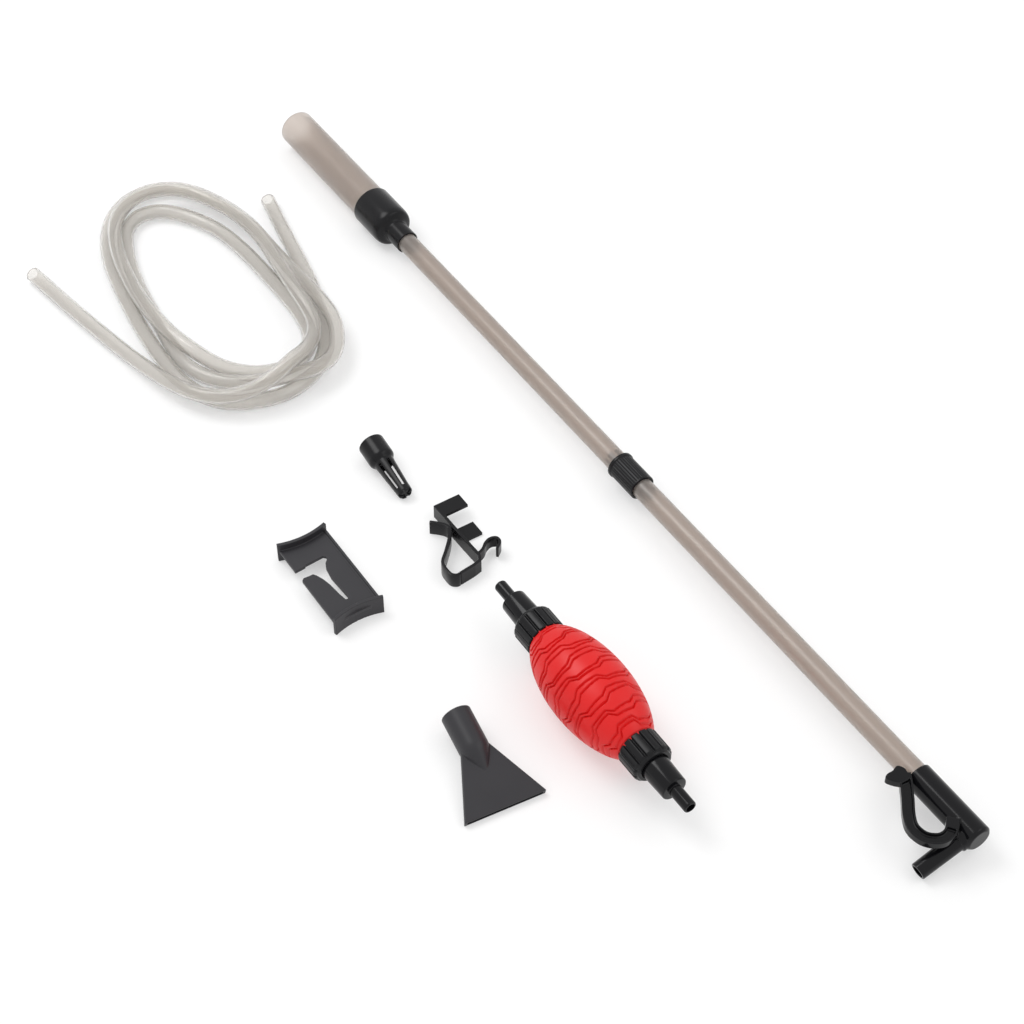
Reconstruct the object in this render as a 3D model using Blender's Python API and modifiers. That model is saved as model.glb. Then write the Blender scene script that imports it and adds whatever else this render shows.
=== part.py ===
"""Gravel vacuum siphon kit: a push-fit wand, a squeeze bulb, a hose and its small fittings.

Every item lies on the plane z = 0. The wand's axis runs along +X from the open mouth of
the gravel tube to the handle. World units are metres; sizes are written as n * MM.
"""

import math

import bmesh
import bpy
from mathutils import Matrix, Vector

MM = 0.001
GAP = 0.3 * MM  # clearance between pieces that touch or slide

# Wand, all places along X
WAND_Y = 119.6 * MM
WAND_Z = 17.0 * MM
MOUTH_X = -434.0 * MM
REDUCER_RIM_X = -307.9 * MM
REDUCER_NECK_X = -250.9 * MM
COUPLING_X = 47.0 * MM
COUPLING_LENGTH = 28.3 * MM
HANDLE_X = 375.5 * MM
HANDLE_END_X = 434.0 * MM
GRAVEL_TUBE_R = 15.0 * MM
GRAVEL_TUBE_WALL = 1.5 * MM
SLIM_TUBE_R = 8.0 * MM
SLIM_TUBE_WALL = 1.2 * MM
SOCKET_DEPTH = 15.0 * MM
SPIGOT_WALL = 1.2 * MM
SPIGOT_REACH = 8.5 * MM  # how far a spigot's fingers stand out of its socket
REDUCER_R = 16.7 * MM
COUPLING_R = 10.0 * MM
HANDLE_R = 9.6 * MM

# Handle: outlet pipe and hook
PIPE_X = 425.8 * MM
PIPE_LENGTH = 42.6 * MM
PIPE_ROOT_R = 6.3 * MM
PIPE_TIP_R = 5.8 * MM
PIPE_BORE_R = 4.2 * MM
PIPE_DROOP = math.radians(15.4)
HOOK_WIDTH = 8.4 * MM
HOOK_DEPTH = 5.6 * MM
HOOK_Z = 23.6 * MM
HOOK_GROOVE = 1.3 * MM

# Squeeze bulb; heights along its axis are measured outward from its middle
BULB_X = 213.8 * MM
BULB_Y = -20.6 * MM
BULB_R = 27.5 * MM
BULB_HALF_LENGTH = 51.0 * MM
BULB_END_R = 14.0 * MM
BULB_WALL = 3.0 * MM
NECK_R = 11.8 * MM
NECK_BORE_R = 9.3 * MM
NECK_END = 61.0 * MM
NUT_R = 14.8 * MM
NUT_START = 51.6 * MM
NUT_END = 71.5 * MM
NUT_GROOVES = 12
SEAT_THICKNESS = 2.0 * MM
GASKET_THICKNESS = 1.2 * MM
FLAP_R = 8.0 * MM
ADAPTER_END = 92.3 * MM
BARB_END = 109.0 * MM
BARB_R = 4.5 * MM
SQUEEZE_SPLIT = 48.0 * MM

# Strainer basket
STRAINER_PLACE = (-73.75 * MM, -18.44 * MM)
STRAINER_HEADING = math.radians(-2.0)
STRAINER_LENGTH = 53.2 * MM
STRAINER_CUP_R = 10.0 * MM
STRAINER_TIP_R = 5.6 * MM
STRAINER_SLOT = 2.4 * MM

# Flat nozzle
NOZZLE_PLACE = (173.9 * MM, -99.4 * MM)
NOZZLE_HEADING = math.radians(-6.3)
NOZZLE_LENGTH = 73.6 * MM
NOZZLE_TUBE_R = 10.3 * MM
NOZZLE_NECK = 28.0 * MM
NOZZLE_HALF_WIDTH = 29.0 * MM
NOZZLE_BLADE = 5.0 * MM
NOZZLE_WALL = 1.5 * MM
NOZZLE_SLIT = 2.6 * MM

# Flow-control plate
PLATE_PLACE = (-19.9 * MM, -125.4 * MM)
PLATE_LENGTH = 81.0 * MM
PLATE_WIDTH = 37.0 * MM
PLATE_THICKNESS = 2.5 * MM
PLATE_Z = 8.2 * MM
FLANGE_HEIGHT = 16.0 * MM
FLANGE_THICKNESS = 2.6 * MM
FLANGE_HOLLOW = 3.4 * MM

# Rim clip
CLIP_HEIGHT = 12.0 * MM
CLIP_BAND = 2.3 * MM
CLIP_TAB = 2.5 * MM

# Hose
HOSE_R = 6.0 * MM
HOSE_STATIONS = 180
HOSE_ROUTE = (
    (-392, -146, 6), (-346, -139, 6), (-301, -131, 6), (-259, -123, 7), (-220, -115, 11.5),
    (-191, -105, 15.5), (-173, -90, 17.5), (-163, -70, 21.5), (-161, -50, 28), (-166, -32, 31),
    (-177, -14, 25.5), (-195, 2, 19.5), (-215, 11, 18.5), (-244, 14, 21), (-279, 18, 20.5),
    (-319, 23, 18.5), (-353, 21, 18), (-385, 12, 17.5), (-408, -1, 18), (-419, -17, 18.5),
    (-422, -35, 18.5), (-415, -53, 18.5), (-400, -68, 18), (-373, -80, 17), (-337, -88, 17),
    (-299, -92, 18.5), (-261, -91, 19), (-234, -84, 16), (-211, -71, 9), (-194, -53, 6),
    (-186, -34, 6), (-188, -16, 6), (-198, -2, 6), (-216, 7, 6), (-245, 11, 6), (-288, 11, 6),
    (-330, 9, 6), (-364, 3, 6), (-391, -10, 6.5), (-407, -25, 7), (-411, -40, 7), (-406, -53, 6.5),
    (-392, -64, 6.5), (-363, -75, 6), (-326, -83, 6), (-282, -88, 6), (-242, -92, 6),
    (-217, -88, 6), (-195, -74, 7), (-176, -54, 12.5), (-164, -33, 18.5), (-161, -15, 18.5),
    (-167, 2, 17), (-182, 15, 17), (-205, 24, 18), (-236, 26, 18.5), (-272, 27, 13), (-309, 29, 7),
    (-347, 29, 6), (-381, 24, 6), (-411, 12, 6.5), (-429, -3, 6.5), (-436, -20, 6.5),
    (-435, -40, 6.5), (-425, -58, 6), (-405, -74, 6), (-375, -87, 6), (-338, -95, 6),
    (-295, -101, 6), (-252, -104, 6), (-216, -103, 6), (-190, -95, 6), (-173, -81, 6.5),
    (-163, -60, 6.5), (-161, -37, 6), (-168, -15, 6), (-184, 4, 6), (-208, 18, 6), (-244, 31, 6),
    (-284, 40, 6), (-328, 48, 6), (-373, 57, 6),
)


# ---------------------------------------------------------------- scene helpers

def clear_scene():
    for obj in list(bpy.data.objects):
        bpy.data.objects.remove(obj, do_unlink=True)


def make_collection(name):
    collection = bpy.data.collections.new(name)
    bpy.context.scene.collection.children.link(collection)
    return collection


def make_material(name, colour, roughness):
    material = bpy.data.materials.new(name)
    material.use_nodes = True
    shader = material.node_tree.nodes["Principled BSDF"]
    shader.inputs["Base Color"].default_value = (*colour, 1.0)
    shader.inputs["Roughness"].default_value = roughness
    shader.inputs["Metallic"].default_value = 0.0
    return material


def make_frame(name, location, along_x=True, heading=0.0, pitch=0.0):
    """An empty on a joint axis. Its local Z lies along the item's length."""
    frame = bpy.data.objects.new(name, None)
    PARTS.objects.link(frame)
    frame.location = location
    if along_x:
        frame.rotation_euler = (0.0, math.radians(90.0) + pitch, heading)
    return frame


def place(obj, frame):
    obj.parent = frame
    bpy.context.view_layer.update()


def bake(obj):
    """Apply the modifiers, weld the seams and turn all faces outward."""
    bpy.context.view_layer.update()
    graph = bpy.context.evaluated_depsgraph_get()
    mesh = bpy.data.meshes.new_from_object(obj.evaluated_get(graph))
    cleaner = bmesh.new()
    cleaner.from_mesh(mesh)
    bmesh.ops.remove_doubles(cleaner, verts=cleaner.verts, dist=0.002 * MM)
    bmesh.ops.recalc_face_normals(cleaner, faces=cleaner.faces)
    cleaner.to_mesh(mesh)
    cleaner.free()
    obj.modifiers.clear()
    obj.data = mesh
    return obj


def as_mesh(curve_object):
    """A mesh object that takes the place of a filled curve."""
    bpy.context.view_layer.update()
    graph = bpy.context.evaluated_depsgraph_get()
    mesh = bpy.data.meshes.new_from_object(curve_object.evaluated_get(graph))
    name = curve_object.name
    curve_object.name = name + "_curve"
    solid = bpy.data.objects.new(name, mesh)
    for collection in curve_object.users_collection:
        collection.objects.link(solid)
    solid.parent = curve_object.parent
    solid.matrix_world = curve_object.matrix_world
    bpy.data.objects.remove(curve_object, do_unlink=True)
    return bake(solid)


def as_tool(obj):
    """Mark an object as a cutter or a guide, which is no part of the kit."""
    for collection in list(obj.users_collection):
        collection.objects.unlink(obj)
    TOOLS.objects.link(obj)
    obj.hide_render = True
    obj.display_type = "WIRE"
    return obj


def combine(obj, other, operation):
    as_tool(other)
    modifier = obj.modifiers.new(operation.lower(), "BOOLEAN")
    modifier.operation = operation
    modifier.solver = "EXACT"
    modifier.object = other
    bake(obj)


def finish(obj, material, sharp_angle=35.0):
    obj.data.materials.clear()
    obj.data.materials.append(material)
    obj.data.shade_smooth()
    obj.data.set_sharp_from_angle(angle=math.radians(sharp_angle))


# ---------------------------------------------------------------- shape helpers

def turned(name, outline, frame=None, steps=32):
    """Turn an outline of (radius, height) about local Z.

    The outline starts at the top, runs down the outer side and comes back up the inner
    side. It is a closed loop unless its first point stands on the axis.
    """
    count = len(outline)
    closed = outline[0][0] > 0.0
    edges = [(i, (i + 1) % count) for i in range(count if closed else count - 1)]
    mesh = bpy.data.meshes.new(name)
    mesh.from_pydata([(r, 0.0, z) for r, z in outline], edges, [])
    obj = bpy.data.objects.new(name, mesh)
    PARTS.objects.link(obj)
    screw = obj.modifiers.new("turn", "SCREW")
    screw.steps = steps
    screw.render_steps = steps
    screw.use_merge_vertices = True
    screw.merge_threshold = 0.001 * MM
    screw.use_normal_calculate = True
    if frame:
        place(obj, frame)
    return bake(obj)


def cylinder(name, radius, low, high, frame=None, top_radius=None, steps=32):
    """A solid cylinder or cone along local Z between two heights."""
    top = radius if top_radius is None else top_radius
    return turned(name, [(0.0, high), (top, high), (radius, low), (0.0, low)], frame, steps)


def box(name, low, high, frame=None):
    """A box between two corners, in local coordinates."""
    shape = bmesh.new()
    bmesh.ops.create_cube(shape, size=1.0)
    size = Vector(high) - Vector(low)
    middle = (Vector(high) + Vector(low)) / 2.0
    bmesh.ops.transform(shape, matrix=Matrix.Diagonal((*size, 1.0)), verts=shape.verts)
    bmesh.ops.translate(shape, vec=middle, verts=shape.verts)
    mesh = bpy.data.meshes.new(name)
    shape.to_mesh(mesh)
    shape.free()
    obj = bpy.data.objects.new(name, mesh)
    PARTS.objects.link(obj)
    if frame:
        place(obj, frame)
    return obj


def extruded(name, outline, z_low, z_high, frame=None, rounding=0.0):
    """A flat outline of (x, y) in metres, filled and raised from z_low to z_high."""
    curve = bpy.data.curves.new(name, "CURVE")
    curve.dimensions = "2D"
    curve.fill_mode = "BOTH"
    curve.extrude = (z_high - z_low) / 2.0 - rounding
    curve.bevel_depth = rounding
    curve.bevel_resolution = 1
    spline = curve.splines.new("POLY")
    spline.points.add(len(outline) - 1)
    for point, (x, y) in zip(spline.points, outline):
        point.co = (x, y, 0.0, 1.0)
    spline.use_cyclic_u = True
    obj = bpy.data.objects.new(name, curve)
    PARTS.objects.link(obj)
    obj.location = (0.0, 0.0, (z_low + z_high) / 2.0)
    if frame:
        place(obj, frame)
    return as_mesh(obj)


def smooth_curve(points, per_span):
    """Catmull-Rom curve through the points."""
    points = [Vector(p) for p in points]
    ends = [2 * points[0] - points[1], *points, 2 * points[-1] - points[-2]]
    curve = []
    for a, b, c, d in zip(ends, ends[1:], ends[2:], ends[3:]):
        for step in range(per_span):
            t = step / per_span
            curve.append(0.5 * (2 * b + (c - a) * t + (2 * a - 5 * b + 4 * c - d) * t * t
                                + (3 * b - a - 3 * c + d) * t ** 3))
    curve.append(points[-1])
    return curve


def band(path, half_widths):
    """Outline of a strip that follows a path, with its own half width at each point."""
    left, right = [], []
    for i, point in enumerate(path):
        ahead = path[min(i + 1, len(path) - 1)]
        behind = path[max(i - 1, 0)]
        direction = (ahead - behind).normalized()
        normal = Vector((-direction.y, direction.x))
        left.append(tuple(point.xy + normal * half_widths[i]))
        right.append(tuple(point.xy - normal * half_widths[i]))
    return left + right[::-1]


def in_mm(points):
    return [Vector((x * MM, y * MM, 0.0)) for x, y in points]


def cut_slots(obj, frame, width, reach, low, high, pairs, turn=0.0):
    """Cut pairs of opposite slots with bars that cross the axis."""
    for i in range(pairs):
        bar = box(f"{obj.name}_slot_{i}", (-reach, -width / 2.0, low), (reach, width / 2.0, high))
        bar.rotation_euler = (0.0, 0.0, turn + math.pi * i / pairs)
        place(bar, frame)
        combine(obj, bar, "DIFFERENCE")


# ---------------------------------------------------------------- wand

def spigot_bore():
    return SLIM_TUBE_R - SLIM_TUBE_WALL - GAP - SPIGOT_WALL


def slim_tube(name, start, end, frame):
    inner = SLIM_TUBE_R - SLIM_TUBE_WALL
    outline = [(SLIM_TUBE_R, end), (SLIM_TUBE_R, start), (inner, start), (inner, end)]
    finish(turned(name, outline, frame), SMOKE)


def gravel_tube(frame):
    end = REDUCER_RIM_X + 20.0 * MM
    inner = GRAVEL_TUBE_R - GRAVEL_TUBE_WALL
    outline = [(GRAVEL_TUBE_R, end), (GRAVEL_TUBE_R, MOUTH_X), (inner, MOUTH_X), (inner, end)]
    finish(turned("gravel_tube", outline, frame, steps=40), SMOKE)


def tube_reducer(frame):
    """A cup for the gravel tube that narrows to a neck with a slotted spigot in it."""
    neck_r = SLIM_TUBE_R + GAP + 1.1 * MM
    socket_r = SLIM_TUBE_R + GAP
    spigot_r = SLIM_TUBE_R - SLIM_TUBE_WALL - GAP
    socket_floor = REDUCER_NECK_X - SOCKET_DEPTH
    cup_floor = REDUCER_RIM_X + 20.5 * MM
    cup_top = REDUCER_RIM_X + 33.0 * MM
    spigot_end = REDUCER_NECK_X + SPIGOT_REACH
    outline = [
        (neck_r, REDUCER_NECK_X), (neck_r, cup_top + 5.0 * MM),
        (neck_r + 3.4 * MM, cup_top + 4.2 * MM), (REDUCER_R - 1.4 * MM, cup_top + 1.8 * MM),
        (REDUCER_R, cup_top - 1.4 * MM), (REDUCER_R, REDUCER_RIM_X),
        (GRAVEL_TUBE_R + GAP, REDUCER_RIM_X), (GRAVEL_TUBE_R + GAP, cup_floor),
        (spigot_bore() + 3.0 * MM, cup_floor), (spigot_bore(), cup_floor + 4.0 * MM),
        (spigot_bore(), spigot_end), (spigot_r, spigot_end), (spigot_r, socket_floor),
        (socket_r, socket_floor), (socket_r, REDUCER_NECK_X),
    ]
    reducer = turned("tube_reducer", outline, frame, steps=40)
    cut_slots(reducer, frame, 2.4 * MM, 7.2 * MM, REDUCER_NECK_X + 0.6 * MM,
              spigot_end + 1.0 * MM, 3)
    finish(reducer, BLACK)


def tube_coupling(frame):
    """A collar that joins the two slim tubes over a spigot with slotted ends."""
    low = COUPLING_X
    high = COUPLING_X + COUPLING_LENGTH
    middle = (low + high) / 2.0
    rib = 0.8 * MM
    socket_r = SLIM_TUBE_R + GAP
    spigot_r = SLIM_TUBE_R - SLIM_TUBE_WALL - GAP
    outline = [
        (COUPLING_R, high), (COUPLING_R, low + 2.6 * MM), (COUPLING_R + 0.6 * MM, low + 2.2 * MM),
        (COUPLING_R + 0.6 * MM, low), (socket_r, low), (socket_r, middle - rib),
        (spigot_r, middle - rib), (spigot_r, low - SPIGOT_REACH), (spigot_bore(), low - SPIGOT_REACH),
        (spigot_bore(), high + SPIGOT_REACH), (spigot_r, high + SPIGOT_REACH),
        (spigot_r, middle + rib), (socket_r, middle + rib), (socket_r, high),
    ]
    coupling = turned("tube_coupling", outline, frame)
    for low_end, high_end in ((low - SPIGOT_REACH - MM, low - 0.6 * MM),
                              (high + 0.6 * MM, high + SPIGOT_REACH + MM)):
        cut_slots(coupling, frame, 2.4 * MM, 7.2 * MM, low_end, high_end, 3)
    finish(coupling, BLACK)


def hook_path():
    """The hook leaves the handle beside the outlet pipe and runs back along the wand."""
    path = [(416.0, 112.0), (423.0, 104.0), (423.6, 95.5), (417.5, 88.2), (408.0, 86.6),
            (399.5, 90.6), (390.0, 97.8), (379.5, 105.3), (373.6, 108.9)]
    return smooth_curve(in_mm(path), 4)


def hook():
    """Channel-section hook for the rim of a tank, with a flared toe."""
    path = hook_path()
    outline = band(path, [HOOK_WIDTH / 2.0] * len(path))
    low = HOOK_Z - HOOK_DEPTH / 2.0
    high = HOOK_Z + HOOK_DEPTH / 2.0
    body = extruded("hook", outline, low, high)
    toe = [(379.6, 101.4), (379.0, 108.0), (375.0, 110.6), (370.7, 111.3), (366.7, 108.3),
           (368.4, 103.6), (368.2, 99.4), (370.0, 95.9)]
    combine(body, extruded("hook_toe", [tuple(p.xy) for p in in_mm(toe)], low, high), "UNION")
    return body


def hook_groove():
    path = hook_path()
    high = HOOK_Z + HOOK_DEPTH / 2.0
    narrow = band(path[5:-1], [HOOK_WIDTH / 2.0 - 2.0 * MM] * (len(path) - 6))
    return extruded("hook_groove", narrow, high - HOOK_GROOVE, high + MM)


def handle_elbow(frame):
    """Socket for the lower tube, a closed end, a drooping outlet pipe and the hook."""
    chamfer = 1.8 * MM
    body = turned("handle_elbow", [
        (0.0, HANDLE_END_X), (HANDLE_R - chamfer, HANDLE_END_X), (HANDLE_R, HANDLE_END_X - chamfer),
        (HANDLE_R, HANDLE_X), (0.0, HANDLE_X)], frame, steps=40)
    pipe_frame = make_frame("outlet_axis", (PIPE_X, WAND_Y, WAND_Z), along_x=False)
    pipe_frame.rotation_euler = (math.radians(90.0) + PIPE_DROOP, 0.0, 0.0)
    bpy.context.view_layer.update()
    pipe = cylinder("outlet_pipe", PIPE_ROOT_R, 0.0, PIPE_LENGTH, pipe_frame, PIPE_TIP_R)
    boss = cylinder("outlet_boss", PIPE_ROOT_R + 1.2 * MM, 0.0, HANDLE_R + 1.4 * MM, pipe_frame)
    for piece in (boss, pipe, hook()):
        combine(body, piece, "UNION")
    socket_floor = HANDLE_X + 20.0 * MM
    waterway = HANDLE_R - 3.4 * MM
    bore = turned("handle_bore", [
        (0.0, HANDLE_END_X - 3.0 * MM), (waterway, HANDLE_END_X - 3.0 * MM),
        (waterway, socket_floor), (SLIM_TUBE_R + GAP, socket_floor),
        (SLIM_TUBE_R + GAP, HANDLE_X - MM), (0.0, HANDLE_X - MM)], frame)
    combine(body, bore, "DIFFERENCE")
    outlet = cylinder("outlet_bore", PIPE_BORE_R, 0.0, PIPE_LENGTH + MM, pipe_frame, steps=24)
    combine(body, outlet, "DIFFERENCE")
    combine(body, hook_groove(), "DIFFERENCE")
    finish(body, BLACK_GLOSS)


def wand():
    frame = make_frame("wand_axis", (0.0, WAND_Y, WAND_Z))
    gravel_tube(frame)
    tube_reducer(frame)
    tube_coupling(frame)
    middle = COUPLING_X + COUPLING_LENGTH / 2.0
    slim_tube("upper_tube", REDUCER_NECK_X - SOCKET_DEPTH + GAP, middle - 1.2 * MM, frame)
    slim_tube("lower_tube", middle + 1.2 * MM, HANDLE_X + 20.0 * MM - GAP, frame)
    handle_elbow(frame)


# ---------------------------------------------------------------- squeeze bulb

def barrel_radius(height, radius):
    """Elliptical barrel that narrows from the bulb's middle to its ends."""
    slope = 1.0 - (BULB_END_R / BULB_R) ** 2
    return radius * math.sqrt(1.0 - slope * (height / BULB_HALF_LENGTH) ** 2)


def bulb_walls(frame):
    """A hollow rubber barrel between two necks, cut into a fixed and a pressed wall."""
    stations = [BULB_HALF_LENGTH * (1.0 - i / 8.0) for i in range(17)]
    outer = [(barrel_radius(z, BULB_R), z) for z in stations]
    inner = [(max(barrel_radius(z, BULB_R - BULB_WALL), NECK_BORE_R), z) for z in stations[1:-1]]
    outline = [(NECK_R, NECK_END), (NECK_R, BULB_HALF_LENGTH)]
    outline += outer
    outline += [(NECK_R, -BULB_HALF_LENGTH), (NECK_R, -NECK_END), (NECK_BORE_R, -NECK_END)]
    outline += inner[::-1]
    outline += [(NECK_BORE_R, NECK_END)]
    lower = turned("bulb_lower_wall", outline, frame)
    upper = turned("bulb_upper_wall", outline, frame)
    reach = BULB_R + MM
    split = SQUEEZE_SPLIT
    lid = box("bulb_split_lower", (-reach, -reach, -split), (0.0, reach, split), frame)
    combine(lower, lid, "DIFFERENCE")
    inset = split - GAP
    keep = box("bulb_split_upper", (-reach, -reach, -inset), (-GAP, reach, inset), frame)
    combine(upper, keep, "INTERSECT")
    finish(lower, RUBBER)
    finish(upper, RUBBER)


def union_nut(name, frame):
    """A nut that traps the fitting's flange, with a grooved grip and a bevelled end."""
    shoulder = 67.7 * MM
    bore_r = NECK_R + 0.4 * MM
    outline = [
        (NUT_R - 2.1 * MM, NUT_END), (NUT_R - 0.4 * MM, NUT_END - 3.0 * MM),
        (NUT_R, NUT_END - 4.4 * MM), (NUT_R, NUT_START), (bore_r, NUT_START),
        (bore_r, shoulder), (10.1 * MM, shoulder), (10.1 * MM, NUT_END),
    ]
    nut = turned(name, outline, frame, steps=48)
    grooves = bmesh.new()
    for i in range(NUT_GROOVES):
        angle = 2.0 * math.pi * (i + 0.5) / NUT_GROOVES
        spin = Matrix.Rotation(angle, 4, "Z")
        low = NUT_START - MM
        high = NUT_END + MM
        shift = Matrix.Translation((NUT_R + 0.35 * MM, 0.0, (low + high) / 2.0))
        bmesh.ops.create_cone(grooves, cap_ends=True, segments=10, radius1=1.25 * MM,
                              radius2=1.25 * MM, depth=high - low, matrix=spin @ shift)
    mesh = bpy.data.meshes.new(name + "_grooves")
    grooves.to_mesh(mesh)
    grooves.free()
    cutter = bpy.data.objects.new(name + "_grooves", mesh)
    PARTS.objects.link(cutter)
    place(cutter, frame)
    combine(nut, cutter, "DIFFERENCE")
    finish(nut, BLACK)


def valve_seat(name, frame):
    """A disc between neck and fitting, with ports and a hole for the flap's stem."""
    low = NECK_END + GAP
    high = low + SEAT_THICKNESS
    outline = [(NECK_R, high), (NECK_R, low), (1.6 * MM, low), (1.6 * MM, high)]
    seat = turned(name, outline, frame, steps=24)
    for i in range(4):
        angle = math.pi / 2.0 * i
        port = cylinder(f"{name}_port_{i}", 2.1 * MM, low - MM, high + MM, steps=12)
        port.location = (5.0 * MM * math.cos(angle), 5.0 * MM * math.sin(angle), 0.0)
        place(port, frame)
        combine(seat, port, "DIFFERENCE")
    finish(seat, BLACK)


def valve_flap(name, frame, opens_outward):
    """A rubber mushroom valve: a disc on the seat and a stem with a knob behind it."""
    seat_low = NECK_END + GAP
    seat_high = seat_low + SEAT_THICKNESS
    stem_r, knob_r = 1.1 * MM, 2.1 * MM
    if opens_outward:
        disc_low, disc_high = seat_high + GAP, seat_high + GAP + 1.2 * MM
        knob_low, knob_high = seat_low - 3.4 * MM, seat_low - 1.9 * MM
        outline = [(0.0, disc_high), (FLAP_R, disc_high), (FLAP_R, disc_low), (stem_r, disc_low),
                   (stem_r, knob_high), (knob_r, knob_high), (knob_r, knob_low), (0.0, knob_low)]
    else:
        disc_low, disc_high = seat_low - GAP - 1.2 * MM, seat_low - GAP
        knob_low, knob_high = seat_high + 1.9 * MM, seat_high + 3.4 * MM
        outline = [(0.0, knob_high), (knob_r, knob_high), (knob_r, knob_low), (stem_r, knob_low),
                   (stem_r, disc_high), (FLAP_R, disc_high), (FLAP_R, disc_low), (0.0, disc_low)]
    finish(turned(name, outline, frame, steps=24), SEAL)


def gasket(name, frame):
    low = NECK_END + SEAT_THICKNESS + 2.0 * GAP
    high = low + GASKET_THICKNESS
    inner = FLAP_R + 0.6 * MM
    outline = [(NECK_R, high), (NECK_R, low), (inner, low), (inner, high)]
    finish(turned(name, outline, frame, steps=24), SEAL)


def adapter(name, frame):
    """A flanged fitting that ends in a plain barb for the hose."""
    low = NECK_END + SEAT_THICKNESS + GASKET_THICKNESS + 3.0 * GAP
    flange_top = low + 2.2 * MM
    chamber = FLAP_R + 0.6 * MM
    outline = [
        (BARB_R - 0.5 * MM, BARB_END), (BARB_R, BARB_END - 1.2 * MM), (BARB_R, ADAPTER_END),
        (8.4 * MM, ADAPTER_END), (9.1 * MM, ADAPTER_END - 0.7 * MM), (9.8 * MM, NUT_END),
        (9.8 * MM, flange_top), (NECK_R, flange_top), (NECK_R, low), (chamber, low),
        (chamber, low + 3.2 * MM), (7.2 * MM, low + 3.6 * MM), (7.2 * MM, ADAPTER_END - 3.0 * MM),
        (3.2 * MM, ADAPTER_END - 2.0 * MM), (3.2 * MM, BARB_END),
    ]
    finish(turned(name, outline, frame), BLACK_GLOSS)


def squeeze_bulb():
    middle = (BULB_X, BULB_Y, BULB_R)
    outlet = make_frame("outlet_side", middle)
    inlet = make_frame("inlet_side", middle)
    inlet.rotation_euler = (0.0, math.radians(-90.0), 0.0)
    bpy.context.view_layer.update()
    bulb_walls(outlet)
    for side, frame, outward in (("inlet", inlet, False), ("outlet", outlet, True)):
        union_nut(f"{side}_nut", frame)
        valve_seat(f"{side}_valve_seat", frame)
        valve_flap(f"{side}_valve_flap", frame, outward)
        gasket(f"{side}_gasket", frame)
        adapter(f"{side}_adapter", frame)


# ---------------------------------------------------------------- small fittings

def strainer_basket():
    """A socket cup that carries a tapered cage with long slots and a notched tip."""
    cup = 17.3 * MM
    rest = cup - 1.0 * MM  # the cup's far rim and the tip both lie on the floor
    drop = math.atan2(STRAINER_CUP_R - STRAINER_TIP_R, STRAINER_LENGTH - rest)
    height = STRAINER_CUP_R * math.cos(drop) + rest * math.sin(drop)
    frame = make_frame("strainer_axis", (*STRAINER_PLACE, height),
                       heading=STRAINER_HEADING, pitch=drop)
    outline = [
        (0.0, STRAINER_LENGTH), (4.5 * MM, STRAINER_LENGTH),
        (STRAINER_TIP_R, STRAINER_LENGTH - 1.2 * MM), (7.6 * MM, cup + 2.6 * MM),
        (8.6 * MM, cup + 1.6 * MM), (9.6 * MM, cup), (STRAINER_CUP_R, cup - 1.2 * MM),
        (STRAINER_CUP_R, 0.0), (SLIM_TUBE_R + GAP, 0.0), (SLIM_TUBE_R + GAP, cup - 2.0 * MM),
        (6.2 * MM, cup), (4.0 * MM, STRAINER_LENGTH - 3.0 * MM), (0.0, STRAINER_LENGTH - 3.0 * MM),
    ]
    basket = turned("strainer_basket", outline, frame, steps=36)
    cut_slots(basket, frame, STRAINER_SLOT, 12.0 * MM, cup + 5.0 * MM,
              STRAINER_LENGTH - 5.6 * MM, 3, turn=math.radians(50.0))
    cut_slots(basket, frame, 1.8 * MM, 12.0 * MM, STRAINER_LENGTH - 1.5 * MM,
              STRAINER_LENGTH + MM, 3, turn=math.radians(20.0))
    finish(basket, BLACK)


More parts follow.
